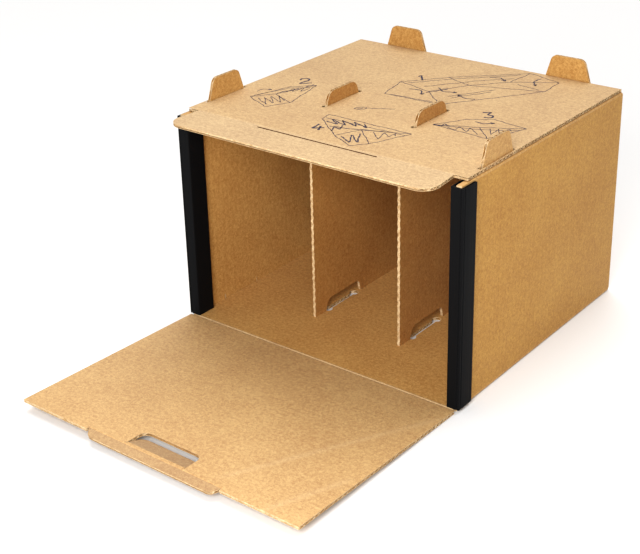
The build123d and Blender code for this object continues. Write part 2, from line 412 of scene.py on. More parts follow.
def slab(outline, holes=(), top=0.0, bottom=None, faceMaterial=0, wallMaterial=1, swept=False,
         holeMaterial=None):
    # The outline, less its holes, carried straight from n = bottom to n = top. UV is (u, v), or
    # for a swept section (length round the outline, n).
    loops = [outline if signedArea(outline) > 0 else outline[::-1]]
    loops += [hole if signedArea(hole) < 0 else hole[::-1] for hole in holes]
    flat = np.concatenate(loops)
    count = len(flat)
    triangles = np.array(tessellate_polygon(
        [[(float(u), float(v), 0.0) for u, v in loop] for loop in loops]))
    first, second, third = (flat[triangles[:, k]] for k in range(3))
    turn = ((second[:, 0] - first[:, 0]) * (third[:, 1] - first[:, 1])
            - (second[:, 1] - first[:, 1]) * (third[:, 0] - first[:, 0]))
    triangles = np.where(turn[:, None] < 0, triangles[:, ::-1], triangles)
    starts = np.cumsum([0] + [len(loop) for loop in loops])
    following = np.concatenate([start + np.roll(np.arange(len(loop)), -1)
                                for start, loop in zip(starts, loops)])
    index = np.arange(count)
    walls = np.stack((index, following, following + count, index + count), 1)
    levels = np.repeat((bottom, top), count)
    points = np.column_stack((np.tile(flat, (2, 1)), levels))
    steps = np.linalg.norm(flat[following] - flat, axis=1)
    length = np.concatenate(([0], np.cumsum(steps)[:-1]))
    uv = np.column_stack((np.tile(length, 2), levels)) if swept else points[:, :2]
    outside = len(loops[0])
    faces = [(triangles[:, ::-1], faceMaterial), (triangles + count, faceMaterial),
             (walls[:outside], wallMaterial)]
    if holes:
        faces.append((walls[outside:], wallMaterial if holeMaterial is None else holeMaterial))
    return {"points": points, "uv": uv, "faces": faces}


def ringTube(rings, material, uv):
    # four-cornered rings joined one after another, closed at both ends
    count = len(rings)
    base = np.arange(count - 1)[:, None] * 4
    k = np.arange(4)[None]
    nextK = (k + 1) % 4
    sides = np.stack((base + k, base + nextK, base + 4 + nextK, base + 4 + k), 2).reshape(-1, 4)
    ends = np.array(((3, 2, 1, 0), tuple(4 * (count - 1) + i for i in range(4))))
    return {"points": rings.reshape(-1, 3), "uv": uv,
            "faces": [(np.concatenate((sides, ends)), material)]}


def fluteCore(loops, top, bottom, material=1):
    # The medium: n = middle + amplitude sin(2 pi v / pitch), a thin rectangle carried along v. At
    # each v it reaches between the crossings of the outline, so cut edges show the flutes' ends.
    sheet, pitch = corrugated["fluteSheet"], corrugated["flutePitch"]
    flat = np.concatenate(loops)
    ends = np.concatenate([np.roll(loop, -1, 0) for loop in loops])
    low, high = flat[:, 1].min() + corrugated["edgeTrim"], flat[:, 1].max() - corrugated["edgeTrim"]
    v = np.linspace(low, high, int((high - low) / pitch * corrugated["samplesPerFlute"]) + 2)
    v += corrugated["scanShift"]
    crosses = (flat[None, :, 1] <= v[:, None]) != (ends[None, :, 1] <= v[:, None])
    rise = np.where(ends[:, 1] == flat[:, 1], 1.0, ends[:, 1] - flat[:, 1])
    u = flat[:, 0] + (v[:, None] - flat[:, 1]) / rise * (ends[:, 0] - flat[:, 0])
    u = np.sort(np.where(crosses, u, np.inf), 1)
    counts = crosses.sum(1)
    edges = np.flatnonzero(np.diff(counts)) + 1
    amplitude = (top - bottom - sheet) / 2 + corrugated["press"]
    slope = amplitude * 2 * math.pi / pitch * np.cos(2 * math.pi * v / pitch)
    wave = (top + bottom) / 2 + amplitude * np.sin(2 * math.pi * v / pitch)
    offset = np.stack((-slope, np.ones_like(v)), 1) / np.hypot(slope, 1)[:, None] * sheet / 2
    parts = []
    for run in np.split(np.arange(len(v)), edges):
        if len(run) < 3:
            continue
        for pair in range(counts[run[0]] // 2):
            uLow = u[run, 2 * pair] + corrugated["endGap"]
            uHigh = u[run, 2 * pair + 1] - corrugated["endGap"]
            rings = np.zeros((len(run), 4, 3))
            for corner, (reach, sign) in enumerate(((uLow, -1), (uHigh, -1), (uHigh, 1), (uLow, 1))):
                rings[:, corner, 0] = reach
                rings[:, corner, 1] = v[run] + sign * offset[run, 0]
                rings[:, corner, 2] = wave[run] + sign * offset[run, 1]
            parts.append(ringTube(rings, material, rings[:, :, :2].reshape(-1, 2)))
    return parts


def corrugatedParts(outline, holes=(), holeMaterial=None):
    # two liners with the fluted medium between them; n runs from -board to 0
    sheet = corrugated["linerSheet"]
    return [slab(outline, holes, 0.0, -sheet, holeMaterial=holeMaterial),
            slab(outline, holes, sheet - board, -board, holeMaterial=holeMaterial),
            *fluteCore([outline, *holes], -sheet, sheet - board)]


def signedVolume(points, faces):
    # six times the volume inside: the sum of a . (b x c) over the triangles of all faces
    return sum(float(np.einsum("ij,ij->i", points[f[:, 0]],
                               np.cross(points[f[:, k]], points[f[:, k + 1]])).sum())
               for f, material in faces for k in range(1, f.shape[1] - 1))


def makePiece(name, parts, plane, materials, nodes=(), body=None):
    # Joins the parts in one mesh. A part whose signed volume comes out negative is turned.
    points, faces, indices, uvs, start = [], [], [], [], 0
    for part in parts:
        placed = plane["origin"] + part["points"] @ plane["axes"]
        inverted = signedVolume(placed, part["faces"]) < 0
        for f, material in part["faces"]:
            ordered = f[:, ::-1] if inverted else f
            faces += (ordered + start).tolist()
            indices += [material] * len(f)
        points.append(placed)
        uvs.append(part["uv"])
        start += len(placed)
    mesh = bpy.data.meshes.new(name)
    mesh.from_pydata(np.concatenate(points).tolist(), [], faces)
    mesh.polygons.foreach_set("material_index", indices)
    layer = mesh.uv_layers.new(name="sheet")
    loopVertices = np.zeros(len(mesh.loops), int)
    mesh.loops.foreach_get("vertex_index", loopVertices)
    layer.uv.foreach_set("vector", np.concatenate(uvs)[loopVertices].astype(np.float32).ravel())
    for material in materials:
        mesh.materials.append(material)
    mesh.shade_smooth()
    mesh.set_sharp_from_angle(angle=math.radians(corrugated["sharpAngle"]))
    piece = bpy.data.objects.new(name, mesh)
    bpy.context.scene.collection.objects.link(piece)
    if nodes:
        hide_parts(*nodes)
    if body:
        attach(piece, body)
    return piece  # makeCrease bakes its placement into the mesh


def foldSection(centre, radius, start, end, wedge=True, steps=9, squareness=3.6):
    # rounded outside of a fold: centre + r (|cos a|^(2/p), |sin a|^(2/p)) with their signs, a
    # running from start to end degrees; a wedge is closed through the centre
    angles = np.radians(np.linspace(start, end, steps))
    arc = np.stack((np.cos(angles), np.sin(angles)), 1)
    arc = np.sign(arc) * np.abs(np.round(arc, 9)) ** (2 / squareness) * radius + centre
    return np.concatenate((arc, [centre])) if wedge else arc


def foldStrip(section, top, bottom, turned=False):
    # a folded board: paper runs round the section, cut edges close its ends; turned swaps its UV
    strip = slab(section, (), top, bottom, 1, 0, swept=True)
    if turned:
        strip["uv"] = strip["uv"][:, ::-1].copy()
    return strip


def creaseSection(hinge, dirA, dirB, reach, low, high, marks, steps=13):
    # Section of a scored crease in its (y, z) plane. s runs from -reach on side B to reach on
    # side A; the normal turns smoothly from one side's to the other's, and each mark (place,
    # width, rise) adds rise exp(-((s - place) / width)^2) to the upper face.
    s = np.linspace(-reach, reach, steps)
    share = np.clip((s / reach + 1) / 2, 0, 1)
    share = (share * share * (3 - 2 * share))[:, None]
    spine = hinge + np.where(s[:, None] > 0, s[:, None] * dirA, -s[:, None] * dirB)
    tangent = share * dirA - (1 - share) * dirB
    normal = np.stack((-tangent[:, 1], tangent[:, 0]), 1)
    normal /= np.linalg.norm(normal, axis=1)[:, None]
    upper = high + sum(rise * np.exp(-((s - at) / width) ** 2) for at, width, rise in marks)
    return np.concatenate((spine + normal * upper[:, None], (spine + normal * low)[::-1]))


creaseReach = 0.0021  # boards stop this far short of a crease, and its strip fills in
shortReach = 0.0012   # the same at the tongue and the hand hole flap, whose creases lie close together
sectionAlongX = boardPlane((0, 0, 0), axisY, axisZ, axisX)
boardMaterials = [kraftPlain, cutEdge]


def makeCrease(name, section, halfLength, material=kraftPlain):
    strip = foldStrip(section, halfLength, -halfLength, True)
    piece = makePiece(name, [strip], sectionAlongX, [material, cutEdge])
    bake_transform(piece)


# floor, back wall and the folds round them
carton = {
    "lockTabs": ((0.058, 0.123), (0.249, 0.314)),
    "lockPlay": 0.0004,
    "floorSlotCentre": 0.143,
    "floorSlotHalf": 0.0287,
    "floorSlotHalfWide": 0.0026,
    "floorSlotEnd": 0.0063,
}
sideJoint = panelLow[0]          # the two boards of a side wall meet here
backInner = backLow[1]
dividerLow, dividerHigh = corners("right_divider")
dividerX = (dividerLow[0] + dividerHigh[0]) / 2


def floorOutline():
    # rectangle with a notch for each locking tab in both side edges
    right = [(sideJoint, doorY + creaseReach)]
    for near, far in carton["lockTabs"]:
        low, high = doorY + near - carton["lockPlay"], doorY + far + carton["lockPlay"]
        inner = sideJoint - board - carton["lockPlay"]
        right += [(sideJoint, low), (inner, low), (inner, high), (sideJoint, high)]
    return mirrored(right + [(sideJoint, backInner)])


floorSlots = [dogBone((side * dividerX, doorY + carton["floorSlotCentre"]), carton["floorSlotHalf"],
                      carton["floorSlotHalfWide"], carton["floorSlotEnd"]) for side in (-1, 1)]
makePiece("floorBoard", corrugatedParts(floorOutline(), floorSlots),
          boardPlane((0, 0, board), axisX, axisY, axisZ), boardMaterials, ["floor_panel"], "carcass")

makePiece("backBoard", corrugatedParts(flapOutlineOf(sideJoint, board, rimZ)),
          boardPlane((0, backHigh[1], 0), axisX, axisZ, axisY), boardMaterials, ["back_wall"],
          "carcass")

rearFold = foldStrip(foldSection((backInner, board), board, -90, 0), sideJoint, -sideJoint, True)
makePiece("floorRearFold", [rearFold], sectionAlongX, boardMaterials, body="carcass")
print("floor and back wall made")


# double side walls with rolled rims, and the rear flaps
wall = {
    "stackTab": {"base": 0.070, "top": 0.046, "corner": 0.009},
    "rearTab": {"base": 0.065, "top": 0.046, "corner": 0.009},
    "sideTabAt": 0.083,
    "rearTabAt": 0.1265,
    "tabPlay": 0.001,
    "lockSlitHalf": 0.0006,
    "lockSlitHeight": 0.0065,
    "rimSquareness": 4.5,
    "rimSag": 0.0010,
}
wallFront = panelLow[1]
rimLow = corners("right_side_rim")[0]


def tabCorners(tab, at, foot, tall):
    # corners of a standing tab, from its far foot over the top to its near foot
    base, top, corner = (tab[key] for key in ("base", "top", "corner"))
    return [(foot, at + base / 2, 0), (foot + tall, at + top / 2, corner),
            (foot + tall, at - top / 2, corner), (foot, at - base / 2, 0)]


def linerOutline():
    # each locking tab reaches into the floor between two slits cut upwards from the foot
    half, foot = wall["lockSlitHalf"], board
    slitTop = foot + wall["lockSlitHeight"]
    points = [(foot, wallFront, 0)]
    for near, far in carton["lockTabs"]:
        for at, levels in ((near, (foot, slitTop, slitTop, linerLow[2])),
                           (far, (linerLow[2], slitTop, slitTop, foot))):
            places = (-half, -half, half, half)
            points += [(level, doorY + at + place, 0) for level, place in zip(levels, places)]
    top = rimLow[2]
    points += [(foot, backInner, 0), (top, backInner, 0)]
    points += tabCorners(wall["stackTab"], doorY + wall["sideTabAt"], top, linerHigh[2] - top)
    points.append((top, wallFront, 0))
    return roundedOutline(points)


def flapOutline(side):
    # rectangle from the flap's inner edge to the corner of the box, with a standing tab on top
    points = [(flapLow[2], flapLow[0], 0), (flapLow[2], sideJoint, 0), (rimZ, sideJoint, 0)]
    points += tabCorners(wall["rearTab"], wall["rearTabAt"], rimZ, flapHigh[2] - rimZ)
    points.append((rimZ, flapLow[0], 0))
    return roundedOutline([(z, side * x, radius) for z, x, radius in points])


for sideName, side in (("left", -1), ("right", 1)):
    outward = side * axisX
    sectionAlongY = boardPlane((0, 0, 0), outward, axisZ, axisY)
    sectionAlongZ = boardPlane((0, 0, 0), outward, axisY, axisZ)

    panel = roundedOutline([(board, wallFront, 0), (board, backHigh[1], 0), (rimLow[2], backHigh[1], 0),
                            (rimLow[2], wallFront, 0)])
    makePiece(f"{sideName}SidePanel", corrugatedParts(panel),
              boardPlane((side * panelHigh[0], 0, 0), axisZ, axisY, outward), [kraftSideShaded, cutEdge],
              [f"{sideName}_side_panel"], "carcass")
    makePiece(f"{sideName}SideLiner", corrugatedParts(linerOutline()),
              boardPlane((side * linerLow[0], 0, 0), axisZ, axisY, -outward), boardMaterials,
              [f"{sideName}_side_liner"], "carcass")

    tabFrom = doorY + wall["sideTabAt"] - wall["stackTab"]["base"] / 2 - wall["tabPlay"]
    tabTo = tabFrom + wall["stackTab"]["base"] + 2 * wall["tabPlay"]
    rimReach = np.array((board, board - wall["rimSag"]))
    rolled = foldSection((sideJoint, rimLow[2]), rimReach, 0, 180, False, 25, wall["rimSquareness"])
    outerHalf = foldSection((sideJoint, rimLow[2]), rimReach, 0, 90, True, 13, wall["rimSquareness"])
    rimParts = [foldStrip(section, high, low)
                for section, low, high in ((rolled, wallFront, tabFrom), (outerHalf, tabFrom, tabTo),
                                           (rolled, tabTo, backHigh[1]))]
    makePiece(f"{sideName}RolledRim", rimParts, sectionAlongY, boardMaterials,
              [f"{sideName}_side_rim"], "carcass")

    bottomFold = foldStrip(foldSection((sideJoint, board), board, -90, 0), backHigh[1], wallFront)
    makePiece(f"{sideName}BottomFold", [bottomFold], sectionAlongY, boardMaterials, body="carcass")

    makePiece(f"{sideName}RearFlap", corrugatedParts(flapOutline(side)),
              boardPlane((0, flapHigh[1], 0), axisZ, axisX, axisY), boardMaterials,
              [f"{sideName}_rear_flap"], "carcass")
    cornerFold = foldStrip(foldSection((sideJoint, backHigh[1]), board, 0, 90), rimLow[2], board)
    makePiece(f"{sideName}RearFold", [cornerFold], sectionAlongZ, boardMaterials, body="carcass")
print("side walls and rear flaps made")


# dividers
divider = {
    "waveDepth": 0.0005,
    "wavePitch": 0.0102,
    "stepsPerWave": 8,
    "tab": {"base": 0.068, "top": 0.054, "corner": 0.013},
    "tabAt": 0.152,
    "footFrom": 0.108,
    "footTo": 0.184,
    "footHeight": 0.016,
    "footSlopes": (0.007, 0.003),
    "footCorner": 0.007,
    "edgeDepth": 0.0012,
}


def dividerOutline():
    # the front edge is a safety cut: y = front + depth sin(2 pi z / pitch)
    front, back = dividerLow[1], dividerHigh[1]
    nearFoot, farFoot = doorY + divider["footFrom"], doorY + divider["footTo"]
    nearSlope, farSlope = divider["footSlopes"]
    footTop = board + divider["footHeight"]
    points = [(board, nearFoot, 0), (footTop, nearFoot + nearSlope, divider["footCorner"]),
              (footTop, farFoot - farSlope, divider["footCorner"]), (board, farFoot, 0),
              (board, back, 0), (rimZ, back, 0)]
    points += tabCorners(divider["tab"], doorY + divider["tabAt"], rimZ, dividerHigh[2] - rimZ)
    count = int((rimZ - board) / divider["wavePitch"] * divider["stepsPerWave"])
    z = np.linspace(rimZ, board, count)
    wave = front + divider["waveDepth"] * (1 + np.sin(2 * math.pi * z / divider["wavePitch"]))
    return np.concatenate((roundedOutline(points), np.stack((z, wave), 1))), np.stack((z, wave), 1)


def crushedEdge(path, depth, filled=1.0, material=1):
    # Flutes pressed flat along a cut edge: a band under the upper liner that follows the path and
    # fills this share of the space between the liners.
    top = -corrugated["linerSheet"]
    low = top - (board + 2 * top) * filled
    inset = corrugated["bandInset"]
    rings = np.zeros((len(path), 4, 3))
    for corner, (inward, n) in enumerate(((inset, top), (depth, top), (depth, low), (inset, low))):
        rings[:, corner, 0] = path[:, 0]
        rings[:, corner, 1] = path[:, 1] + inward
        rings[:, corner, 2] = n
    return ringTube(rings, material, rings[:, :, :2].reshape(-1, 2))


dividerShape, dividerFront = dividerOutline()
for sideName, side in (("left", -1), ("right", 1)):
    parts = corrugatedParts(dividerShape) + [crushedEdge(dividerFront, divider["edgeDepth"])]
    makePiece(f"{sideName}Divider", parts,
              boardPlane((side * dividerX + board / 2, 0, 0), axisZ, axisY, axisX),
              [kraftDividerShaded, cutEdge], [f"{sideName}_divider"], "carcass")
print("dividers made")


# corner posts: extruded plastic channels
post = {
    "outerFlange": 0.0038,
    "innerFlange": 0.0058,
    "web": 0.0024,
    "grip": 0.0002,
    "cell": 0.0013,
    "frontRadius": 0.0015,
    "tipRadius": 0.0007,
    "groove": 0.0009,
    "grooveAt": 0.0042,
    "cellCorner": 0.0004,
    "body": "#151516",
    "sheenLines": "#17181A",
    "dust": "#5A5550",
    "dustShare": 0.15,
    "lineScale": (1900, 1900, 2.5),
    "dustScale": 240,
    "roughness": 0.5,
    "gloss": 0.05,
    "relief": 0.25,
    "reliefHeight": 0.0003,
}


def postPlastic(settings):
    # black plastic with die lines that run up the extrusion, and a little dust
    nodes = Nodes("postPlastic")
    place = nodes.add("TexCoord").outputs["Object"]
    lines = nodes.noise(nodes.stretched(place, settings["lineScale"]), 1.0, 3, 0.6)
    dust = nodes.noise(place, settings["dustScale"], 4, 0.7)
    colour = nodes.mix(nodes.spread(lines, 0.4, 0.7), srgb(settings["body"]),
                       srgb(settings["sheenLines"]))
    nodes.join(nodes.mix(nodes.spread(dust, 0.68, 0.8, 0.0, settings["dustShare"]), colour,
                         srgb(settings["dust"])), nodes.shader.inputs["Base Color"])
    nodes.join(nodes.spread(lines, 0.3, 0.7, settings["roughness"] - 0.08,
                            settings["roughness"] + 0.12), nodes.shader.inputs["Roughness"])
    nodes.fix(Specular_IOR_Level=settings["gloss"])
    nodes.bump(lines, settings["relief"], settings["reliefHeight"])
    return nodes.material


def postOutline():
    # Channel section in (outward, y), outward measured from the middle of the wall.
    low, high = corners("right_corner_post")
    near, far = low[1], high[1]
    outer, inner = board + post["outerFlange"], -board - post["innerFlange"]
    channel, webBack = board + post["grip"], near + post["web"]
    groove, at, tip = post["groove"], post["grooveAt"], post["tipRadius"]
    points = [(outer, far, tip), (channel, far, tip), (channel, webBack, 0), (-channel, webBack, 0),
              (-channel, far, tip), (inner, far, tip), (inner, near, post["frontRadius"]),
              (at - groove, near, 0), (at, near + groove, 0), (at + groove, near, 0),
              (outer, near, post["frontRadius"]), (outer, near + at - groove, 0),
              (outer - groove, near + at, 0), (outer, near + at + groove, 0)]
    cells = []
    for faceIn, faceOut in ((channel, outer), (inner, -channel)):
        wallIn, wallOut = faceIn + post["cell"], faceOut - post["cell"]
        cellNear, cellFar, corner = near + 2 * post["web"], far - post["web"], post["cellCorner"]
        cells.append(roundedOutline([(wallIn, cellNear, corner), (wallOut, cellNear, corner),
                                     (wallOut, cellFar, corner), (wallIn, cellFar, corner)], 4))
    return roundedOutline(points, 6), cells, low[2], high[2]


plastic = postPlastic(post)
postShape, postCells, postBottom, postTop = postOutline()
for sideName, side in (("left", -1), ("right", 1)):
    section = slab(postShape, postCells, postTop, postBottom, 0, 0, swept=True)
    makePiece(f"{sideName}CornerPost", [section],
              boardPlane((side * sideJoint, 0, 0), side * axisX, axisY, axisZ), [plastic],
              [f"{sideName}_corner_post"], "carcass")
print("posts made")


# lid and lip
lid = {
    "tabSlotHalfWide": 0.0024,
    "tabSlotHalf": 0.038,
    "dividerSlotHalf": 0.036,
    "dividerSlotEnd": 0.0038,
}
lip = {
    "rootHalf": 0.1865,
    "fullHalf": 0.189,
    "fullAt": 0.032,
    "corner": 0.020,
    "slitHalf": 0.0875,
    "slitHalfWide": 0.0012,
    "slitAt": 0.0051,
    "slitDepth": 0.0008,
    "nicks": (-0.118, -0.022, 0.071, 0.143),
    "nickRise": 0.0007,
    "nickWidth": 0.001,
    "frontMargin": 1.3,
    "frontSteps": 161,
    "creaseMarks": ((0.0, 0.0008, -0.00035), (0.0013, 0.0006, 0.0001)),
    "edgeDepth": 0.0014,
    "edgeFilled": 0.35,
}
lipHinge = hinges["lip_fold"]
lipLow = corners("front_lip")[0]
crease = lipHinge[1]
lidFront = lidLow[1]


def lidShape():
    # rectangle, narrower where the lip joins, with a plain slot for each side tab and a dog-bone
    # slot for each divider's tab
    half, root = lidHigh[0], lip["rootHalf"]
    outline = mirrored([(root, crease + creaseReach), (root, lidFront), (half, lidFront),
                        (half, backInner)])
    holes = []
    for side in (-1, 1):
        at = (side * (sideJoint - board / 2), doorY + wall["sideTabAt"])
        long, wide = lid["tabSlotHalf"], lid["tabSlotHalfWide"]
        holes.append(np.array([(at[0] - wide, at[1] - long), (at[0] + wide, at[1] - long),
                               (at[0] + wide, at[1] + long), (at[0] - wide, at[1] + long)]))
        holes.append(dogBone((side * dividerX, doorY + divider["tabAt"]), lid["dividerSlotHalf"], wide,
                             lid["dividerSlotEnd"]))
    return outline, holes


def lipShape():
    # the front edge keeps small nicks where the board was held in the die: rise exp(-(d / width)^2)
    back, front = crease - creaseReach, lipLow[1]
    full, fullAt = lip["fullHalf"], crease - lip["fullAt"]
    margin = lip["corner"] * lip["frontMargin"]
    x = np.linspace(-full + margin, full - margin, lip["frontSteps"])
    nicked = front + sum(lip["nickRise"] * np.exp(-((x - at) / lip["nickWidth"]) ** 2)
                         for at in lip["nicks"])
    root, corner = lip["rootHalf"], lip["corner"]
    rounded = roundedOutline([(full, front, corner), (full, fullAt, 0), (root, back, 0),
                              (-root, back, 0), (-full, fullAt, 0), (-full, front, corner)], 9)
    outline = np.concatenate((rounded, np.stack((x, nicked), 1)))
    slit = dogBone((crease - lip["slitAt"], 0), lip["slitHalf"] - lip["slitHalfWide"],
                   lip["slitHalfWide"], lip["slitHalfWide"])[:, ::-1]
    return outline, [slit], np.stack((x, nicked), 1)


lidPlane = boardPlane((0, 0, lidHigh[2]), axisX, axisY, axisZ)
makePiece("lidBoard", corrugatedParts(*lidShape()), lidPlane, [kraftLidSheen, cutEdge], ["lid_panel"], "lid")
lipOutline, lipSlit, lipFront = lipShape()
# painted shade in the slit: its walls and a band of dark slit paper just behind it
slitBack = np.array(((lip["slitHalf"], crease - lip["slitAt"] + lip["slitHalfWide"]),
                     (-lip["slitHalf"], crease - lip["slitAt"] + lip["slitHalfWide"])))
makePiece("lipBoard", corrugatedParts(lipOutline, lipSlit, 2)
          + [crushedEdge(lipFront, lip["edgeDepth"], lip["edgeFilled"]),
             crushedEdge(slitBack, lip["slitDepth"], 1.0, 2)],
          lidPlane, [kraftLipSheen, cutEdge, slitShadePaper], ["front_lip"], "lip")

flatBack, flatFront = np.array((1.0, 0.0)), np.array((-1.0, 0.0))
makeCrease("lipCrease", creaseSection(lipHinge[1:], flatBack, flatFront, creaseReach, 0.0, board,
                                      lip["creaseMarks"]),
           lip["rootHalf"],
           kraftLipSheen)
makeCrease("lidRearFold", foldSection((backInner, rimZ), board, 0, 90), lidHigh[0])
print("lid and lip made")


# folding pictures drawn on the lid by hand
# Places are millimetres: each centre from the middle of the box and the door crease, each stroke
# from its centre, first along the writing line and then upwards.
ink = {
    "colour": "#1E1736",
    "line": 1.15,
    "bold": 2.0,
    "numeral": 3.0,
    "thickness": 0.00012,
    "writing": (0.787, 0.617),
    "wobble": 0.5,
    "wobbleLengths": (37.0, 17.0, 7.0),
    "spacing": 1.0,
    "seed": 5,
    "pressure": 0.35,
    "pressureLength": 23,
    "sunk": 5e-5,
    "faded": "#6B4E4A",
    "blotScale": 700,
    "roughness": 0.6,
}


def arrow(x0, y0, bend, x1, y1, head=6.0):
    # a curved shaft over the middle point moved sideways by bend, then its two-stroke head
    start, end = np.array((x0, y0), float), np.array((x1, y1), float)
    side = np.array((start[1] - end[1], end[0] - start[0])) / np.linalg.norm(end - start)
    middle = (start + end) / 2 + side * bend
    back = (middle - end) / np.linalg.norm(middle - end)
    cross = np.array((-back[1], back[0]))
    return [[start, middle, end],
            [end + (back + 0.5 * cross) * head, end, end + (back - 0.5 * cross) * head]]


sketches = (
    {"at": (-149, 182), "width": "numeral",
     "strokes": [[(-8, 5), (-4, 11), (4, 10), (5, 3), (-8, -10), (9, -9)]]},
    {"at": (-30, 277), "width": "numeral", "strokes": [[(-4, 6), (1, 11), (0, -10)]]},
    {"at": (117, 201), "width": "numeral",
     "strokes": [[(-6, 10), (6, 10), (-1, 2), (6, -3), (2, -10), (-7, -8)]]},
    {"at": (-27, 52), "width": "numeral",
     "strokes": [[(2, 11), (-8, -3), (8, -2)], [(3, 4), (1, -11)]]},
    {"at": (40, 285), "strokes": [
        [(-112, -22), (-88, 24), (-25, 37), (84, 46), (114, 4), (90, -30), (-46, -70), (-112, -22)],
        [(-88, 24), (-56, -18), (-46, -70)], [(-25, 37), (-2, 2), (90, -30)],
        [(-56, -18), (-2, 2), (52, 12), (114, 4)], [(52, 12), (84, 46)], [(-104, -26), (-54, -60)],
        [(-60, 2), (20, 22), (60, 26)], [(-34, -40), (30, -18)], [(-30, -46), (24, -26)],
        [(-80, 18), (-22, 30), (70, 40)], [(60, 2), (84, -24)]],
     "bold": [*arrow(-80, -6, 9, -64, -30), *arrow(-42, -4, -8, -20, -26), *arrow(28, 34, 7, 46, 16),
              *arrow(94, 22, -7, 82, -6), *arrow(0, -54, 6, -20, -34),
              [(-60, -22), (-44, -18), (-30, -10)]]},
    {"at": (-140, 125), "strokes": [
        [(-42, -8), (9, 28), (43, 31), (9, -36), (-22, -48), (-42, -8)],
        [(-42, -8), (-10, 0), (9, -36)], [(-10, 0), (43, 31)], [(-38, -4), (6, 22), (34, 24)],
        [(-32, -14), (-20, -40), (-24, -12), (-12, -36), (-15, -9), (-2, -34), (-6, -6), (2, -28)],
        [(2, 6), (14, 20), (12, 8), (26, 22), (22, 8), (34, 20)], *arrow(-34, 12, 7, -14, 18)],
     "bold": [[(-8, 2), (0, 10), (10, 12), (20, 20)], [(28, 26), (40, 34)]]},
    {"at": (130, 160), "strokes": [
        [(-54, 12), (-13, 27), (20, 25), (54, -11), (4, -40), (-54, 12)],
        [(-54, 12), (0, -2), (54, -11)], [(0, -2), (4, -40)], [(-46, 8), (0, -10), (46, -16)],
        [(-38, 2), (-30, -8), (-24, 2), (-17, -16), (-12, -2), (-5, -26)],
        [(12, -6), (10, -28), (22, -8), (20, -22), (34, -10), (36, -18)]],
     "bold": [[(-54, 12), (-44, 6), (-40, 14), (-34, 4)], *arrow(-4, 18, -5, 20, 12)]},
    {"at": (20, 62), "strokes": [
        [(-38, 50), (-30, 66), (66, -10), (15, -39), (-8, -43), (-24, -8), (-38, 50)],
        [(-24, -8), (8, 8), (66, -10)], [(8, 8), (15, -39)], [(-34, 54), (58, -14)],
        [(22, 0), (26, -26), (34, -2), (38, -18), (48, -6), (46, -16)]],
     "bold": [
         [(-34, 42), (-20, 30), (-26, 48), (-10, 24), (-14, 44), (2, 20), (0, 36), (14, 14), (12, 28)],
         [(-30, 24), (-8, 14), (10, 8), (40, -2)], [(-16, -12), (-8, -34), (-4, -8), (2, -34), (6, -4)],
         [(-28, 6), (-24, 22), (-18, 10), (-14, 26)]]},
    {"at": (-26, 135), "strokes": [
        [(-8, 0), (-4, 4), (6, 4), (9, 0), (4, -4), (-5, -4), (-8, 0)], [(9, 0), (43, -7)],
        [(-4, 1), (0, -2), (4, 2)]]},
)


def inkStroke(points, width, chance):
    # The stroke is stepped at even lengths and moved sideways by a sum of sines with seeded
    # phases; at each step its cross-section is a flat rectangle of the pen's width, which the
    # pressure narrows by 1 - pressure sin^2. A running mean over five steps rounds its corners.
    points = np.array(points, float)
    lengths = np.concatenate(([0], np.cumsum(np.linalg.norm(np.diff(points, axis=0), axis=1))))
    at = np.linspace(0, lengths[-1], max(4, int(lengths[-1] / ink["spacing"])))
    path = np.stack([np.interp(at, lengths, points[:, k]) for k in range(2)], 1)
    padded = np.concatenate((path[:1], path[:1], path, path[-1:], path[-1:]))
    path = np.mean([padded[k:k + len(path)] for k in range(5)], axis=0)
    ahead = np.gradient(path, axis=0)
    ahead /= np.linalg.norm(ahead, axis=1)[:, None]
    sideways = np.stack((-ahead[:, 1], ahead[:, 0]), 1)
    phases = chance.uniform(0, 2 * math.pi, len(ink["wobbleLengths"]))
    sway = sum(np.sin(2 * math.pi * at / length + phase) / (k + 1)
               for k, (length, phase) in enumerate(zip(ink["wobbleLengths"], phases)))
    path += sideways * (ink["wobble"] * sway)[:, None]
    pressed = ink["pressure"] * np.sin(2 * math.pi * at / ink["pressureLength"] + phases[0]) ** 2
    half = width / 2 * (1 - pressed)
    low, high = -ink["sunk"], ink["thickness"]
    rings = np.zeros((len(path), 4, 3))
    for corner, (sign, n) in enumerate(((1, low), (-1, low), (-1, high), (1, high))):
        rings[:, corner, :2] = (path + sideways * (sign * half)[:, None]) / 1000
        rings[:, corner, 2] = n
    return rings


def inkPicture(sketch, chance):
    # the sketch's strokes, turned to its writing line and moved to its centre
    along = np.array(ink["writing"])
    turn = np.array((along, (-along[1], along[0])))
    centre = np.array(sketch["at"]) / 1000 + (0, doorY)
    parts = []
    strokes = [(stroke, sketch.get("width", "line")) for stroke in sketch["strokes"]]
    strokes += [(stroke, "bold") for stroke in sketch.get("bold", ())]
    for stroke, width in strokes:
        rings = inkStroke(stroke, ink[width], chance)
        rings[:, :, :2] = rings[:, :, :2] @ turn + centre
        parts.append(ringTube(rings, 0, rings[:, :, :2].reshape(-1, 2)))
    return parts


def inkPaper(settings):
    # blue-black ink that thins out in small blots
    nodes = Nodes("penInk")
    place = nodes.add("TexCoord").outputs["Object"]
    blots = nodes.spread(nodes.noise(place, settings["blotScale"], 3, 0.7), 0.5, 0.8)
    nodes.join(nodes.mix(blots, srgb(settings["colour"]), srgb(settings["faded"])),
               nodes.shader.inputs["Base Color"])
    nodes.fix(Roughness=settings["roughness"])
    return nodes.material


penChance = np.random.default_rng(ink["seed"])
makePiece("lidFoldingPictures", [part for sketch in sketches for part in inkPicture(sketch, penChance)],
          lidPlane, [inkPaper(ink)], body="lid")
print("folding pictures drawn")


